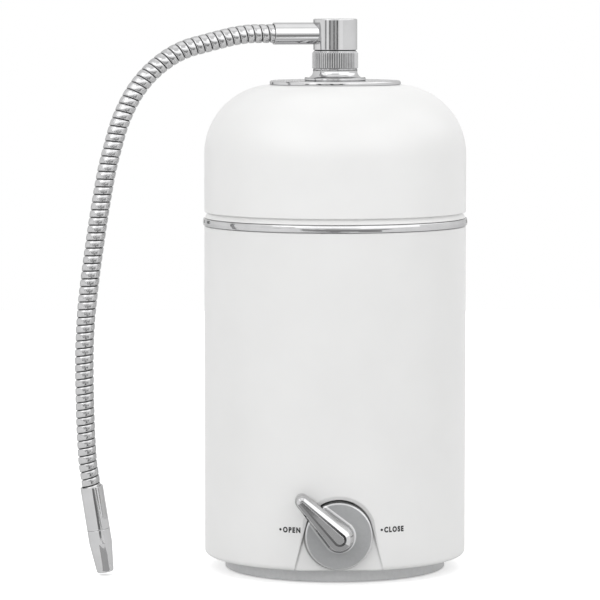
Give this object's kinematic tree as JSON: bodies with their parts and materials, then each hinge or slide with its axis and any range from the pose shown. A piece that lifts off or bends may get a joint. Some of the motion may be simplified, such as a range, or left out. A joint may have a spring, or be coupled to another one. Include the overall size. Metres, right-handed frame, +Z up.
{
  "type": "countertop water purifier",
  "caption": "Round countertop water purifier with a domed lift-off cover, a swivelling chrome gooseneck spout on top and a quarter-turn lever tap at the foot of the front.",
  "frame": {"origin": "centre of the round footprint, on the table that the feet stand on", "axes": "+Z up along the body's axis, the tap at the front facing -Y, the spout at rest to the -X side and a little to the front"},
  "size_m": [0.2089, 0.1659, 0.2944],
  "materials": {
    "white_plastic": "moulded, glossy",
    "grey_plastic": "painted, satin",
    "chrome": "plated, polished",
    "wound_steel": "strip-wound, plated",
    "steel": "zinc plated",
    "brass": "turned",
    "black_rubber": "moulded",
    "ceramic": "lapped",
    "fitting_plastic": "moulded, satin",
    "tube_plastic": "extruded",
    "inner_plastic": "moulded, satin",
    "felt": "pressed felt",
    "carbon": "granular",
    "fibre": "potted hollow fibre"
  },
  "bodies": {
    "base_unit": {"rubber_feet": "black_rubber", "base_plinth": "grey_plastic", "plinth_screws": "steel", "body_shell": "white_plastic", "trim_band": "chrome", "cover_seal": "black_rubber", "fixed_ceramic_disc": "ceramic", "valve_gland": "brass", "valve_body": "brass", "valve_screws": "steel", "inlet_fitting": "fitting_plastic", "inlet_seal": "black_rubber", "inlet_lock_nut": "fitting_plastic", "inlet_tube": "tube_plastic", "feed_tube": "tube_plastic", "cartridge_tray": "inner_plastic", "cartridge_lower_cap": "inner_plastic", "cartridge_can": "inner_plastic", "cartridge_upper_cap": "inner_plastic", "cartridge_seal": "black_rubber", "sediment_pad": "felt", "carbon_bed": "carbon", "membrane_bundle": "fibre", "media_screen": "inner_plastic"},
    "lid": {"cover": "white_plastic", "top_plate": "chrome", "outlet_pedestal": "chrome", "stem_gasket": "black_rubber", "stem_lock_nut": "brass", "union_nut": "chrome"},
    "spout": {"swivel_elbow": "chrome", "swivel_seal": "black_rubber", "hose_ferrule": "chrome", "gooseneck_hose": "wound_steel", "nozzle_sleeve": "chrome", "nozzle_tip": "chrome"},
    "tap": {"knob_disc": "grey_plastic", "knob_lever": "chrome", "valve_spindle": "steel", "spindle_seal": "black_rubber", "moving_ceramic_disc": "ceramic"},
    "collet": {"inlet_collet": "fitting_plastic"}
  },
  "joints": [
    {"name": "lid_lift", "type": "slide", "parent": "base_unit", "child": "lid", "axis": [0, 0, 1], "range_m": [0, 0.07]},
    {"name": "spout_swivel", "type": "hinge", "parent": "lid", "child": "spout", "pos_m": [0, 0, 0.2866], "axis": [0, 0, 1], "continuous": true},
    {"name": "tap_turn", "type": "hinge", "parent": "base_unit", "child": "tap", "pos_m": [0, -0.0656, 0.0263], "axis": [0, 1, 0], "range_deg": [0, 90]},
    {"name": "collet_press", "type": "slide", "parent": "base_unit", "child": "collet", "axis": [0, -1, 0], "range_m": [0, 0.0015]}
  ]
}
